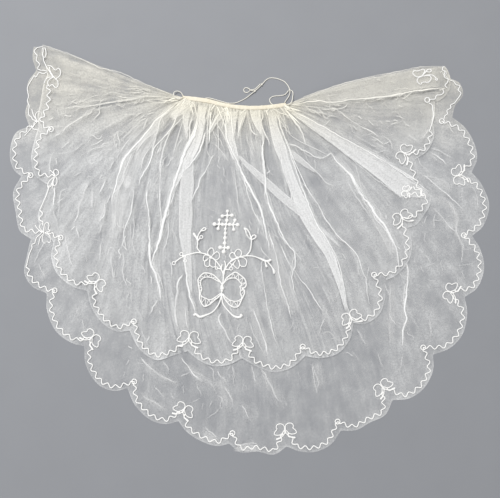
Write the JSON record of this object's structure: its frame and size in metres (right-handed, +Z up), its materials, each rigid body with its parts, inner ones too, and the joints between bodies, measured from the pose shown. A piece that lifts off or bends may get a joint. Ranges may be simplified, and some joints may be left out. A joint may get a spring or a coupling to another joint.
{
  "type": "communion veil",
  "caption": "Two-tier communion veil of white tulle, gathered to a narrow band, with scalloped embroidered hems and an elastic cord, lying flat.",
  "frame": {"origin": "middle of the veil's outline, on the table that it lies on", "axes": "+X along the band and the width, +Y from the long hem towards the band, +Z up"},
  "size_m": [0.8516, 0.7214, 0.0105],
  "materials": {
    "tulle": "fine sheer net",
    "binding": "matt cotton bias binding",
    "elastic": "round covered elastic"
  },
  "bodies": {
    "root": {"lower_tier": "tulle", "upper_tier": "tulle", "gathering_band": "binding", "head_elastic": "elastic", "tie_loop": "elastic", "left_loop": "elastic", "right_loop_inner": "elastic", "right_loop_outer": "elastic", "knot_a": "elastic", "knot_b": "elastic", "knot_c": "elastic"}
  },
  "joints": []
}
